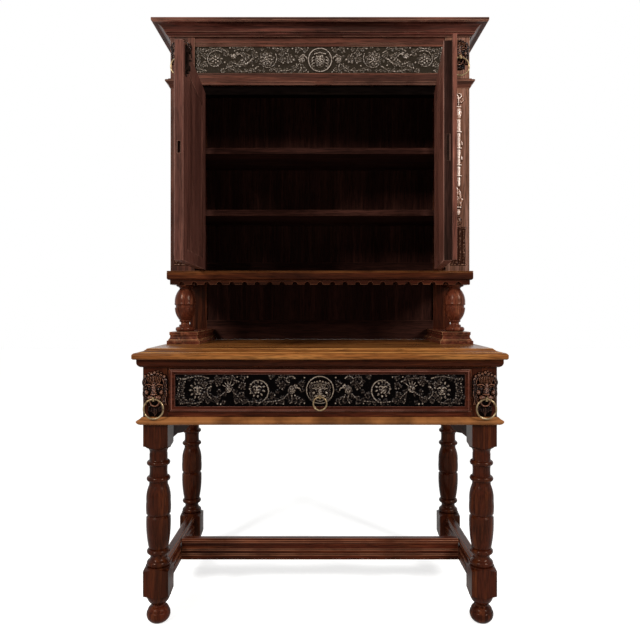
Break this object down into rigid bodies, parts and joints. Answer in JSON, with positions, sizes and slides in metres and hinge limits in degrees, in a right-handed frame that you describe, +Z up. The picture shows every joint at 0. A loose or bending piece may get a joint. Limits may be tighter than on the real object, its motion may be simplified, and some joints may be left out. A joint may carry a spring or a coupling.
{
  "type": "cabinet on stand",
  "caption": "Carved oak cupboard with two panelled doors on turned bulbs, over a table with a frieze drawer, lion masks with rings and turned legs.",
  "frame": {"origin": "on the floor, midway across and midway front to back with the doors open as shown", "axes": "+Z up, -Y is the front, +X to the right seen from the front"},
  "size_m": [1.1, 0.7712, 1.887],
  "materials": {
    "waxed_oak": "dark waxed, satin",
    "worn_oak": "waxed and worn warmer, satin",
    "carved_oak": "carved, darkened in the hollows, worn paler on the high points",
    "inner_oak": "stained, dull",
    "aged_brass": "aged, softly polished",
    "lock_steel": "blackened with age"
  },
  "bodies": {
    "stand": {"back_panels": "inner_oak", "back_rails": "inner_oak", "back_stiles": "waxed_oak", "ball_feet": "waxed_oak", "bulbs": "waxed_oak", "cornice": "waxed_oak", "cupboard_sides": "waxed_oak", "drawer_runners": "inner_oak", "frame_mouldings": "waxed_oak", "frieze_carved_panel": "carved_oak", "frieze_rails": "waxed_oak", "front_rails": "waxed_oak", "front_stiles": "waxed_oak", "guide_boards": "inner_oak", "head_rail": "inner_oak", "hinge_plates": "aged_brass", "leg_back_left": "waxed_oak", "leg_back_right": "waxed_oak", "leg_front_left": "waxed_oak", "leg_front_right": "waxed_oak", "lower_lion_masks": "carved_oak", "middle_stretcher": "waxed_oak", "pilaster_ornaments": "waxed_oak", "plinths": "waxed_oak", "ring_eyes": "aged_brass", "scalloped_apron": "waxed_oak", "shelf_battens": "inner_oak", "shelves": "inner_oak", "side_stretchers": "waxed_oak", "string_course": "waxed_oak", "table_aprons": "waxed_oak", "table_top": "worn_oak", "top_board": "waxed_oak", "upper_lion_masks": "carved_oak", "waist_board": "worn_oak"},
    "left_door": {"bolt_plate": "lock_steel", "left_door_frame": "waxed_oak", "left_door_moulding": "waxed_oak", "left_door_panel": "waxed_oak", "left_hinge_leaves": "aged_brass"},
    "right_door": {"astragal": "waxed_oak", "lock_and_escutcheon": "lock_steel", "right_door_frame": "waxed_oak", "right_door_moulding": "waxed_oak", "right_door_panel": "waxed_oak", "right_hinge_leaves": "aged_brass"},
    "drawer": {"drawer_bottom": "inner_oak", "drawer_box": "inner_oak", "drawer_carved_panel": "carved_oak", "drawer_front": "waxed_oak", "drawer_front_moulding": "waxed_oak", "drawer_lion_mask": "carved_oak", "drawer_ring_eye": "aged_brass"},
    "door_bolt": {"door_bolt": "lock_steel"},
    "lock_bolt": {"lock_bolt": "lock_steel"},
    "drawer_ring": {"drawer_ring": "aged_brass"},
    "ring_lower_left": {"ring_lower_left": "aged_brass"},
    "ring_lower_right": {"ring_lower_right": "aged_brass"},
    "ring_upper_left": {"ring_upper_left": "aged_brass"},
    "ring_upper_right": {"ring_upper_right": "aged_brass"}
  },
  "joints": [
    {"name": "left_door_hinge", "type": "hinge", "parent": "stand", "child": "left_door", "pos_m": [-0.41535, 0.0362, 1.3635], "axis": [0, 0, 1], "range_deg": [-30, 87.7]},
    {"name": "right_door_hinge", "type": "hinge", "parent": "stand", "child": "right_door", "pos_m": [0.41535, 0.0362, 1.3635], "axis": [0, 0, 1], "range_deg": [-83, 34]},
    {"name": "drawer_slide", "type": "slide", "parent": "stand", "child": "drawer", "axis": [0, -1, 0], "range_m": [0, 0.36]},
    {"name": "door_bolt_slide", "type": "slide", "parent": "left_door", "child": "door_bolt", "axis": [0, 0, 1], "range_m": [0, 0.014]},
    {"name": "lock_bolt_slide", "type": "slide", "parent": "right_door", "child": "lock_bolt", "axis": [-0.1219, -0.9925, 0], "range_m": [0, 0.009]},
    {"name": "drawer_ring_swing", "type": "hinge", "parent": "drawer", "child": "drawer_ring", "pos_m": [0, -0.2085, 0.684], "axis": [1, 0, 0], "range_deg": [-95, 0]},
    {"name": "ring_lower_left_swing", "type": "hinge", "parent": "stand", "child": "ring_lower_left", "pos_m": [-0.487, -0.20625, 0.677], "axis": [1, 0, 0], "range_deg": [-95, 0]},
    {"name": "ring_upper_left_swing", "type": "hinge", "parent": "stand", "child": "ring_upper_left", "pos_m": [-0.459, 0.02025, 1.768], "axis": [1, 0, 0], "range_deg": [-95, 0]},
    {"name": "ring_lower_right_swing", "type": "hinge", "parent": "stand", "child": "ring_lower_right", "pos_m": [0.487, -0.20625, 0.677], "axis": [1, 0, 0], "range_deg": [-95, 0]},
    {"name": "ring_upper_right_swing", "type": "hinge", "parent": "stand", "child": "ring_upper_right", "pos_m": [0.459, 0.02025, 1.768], "axis": [1, 0, 0], "range_deg": [-95, 0]}
  ]
}
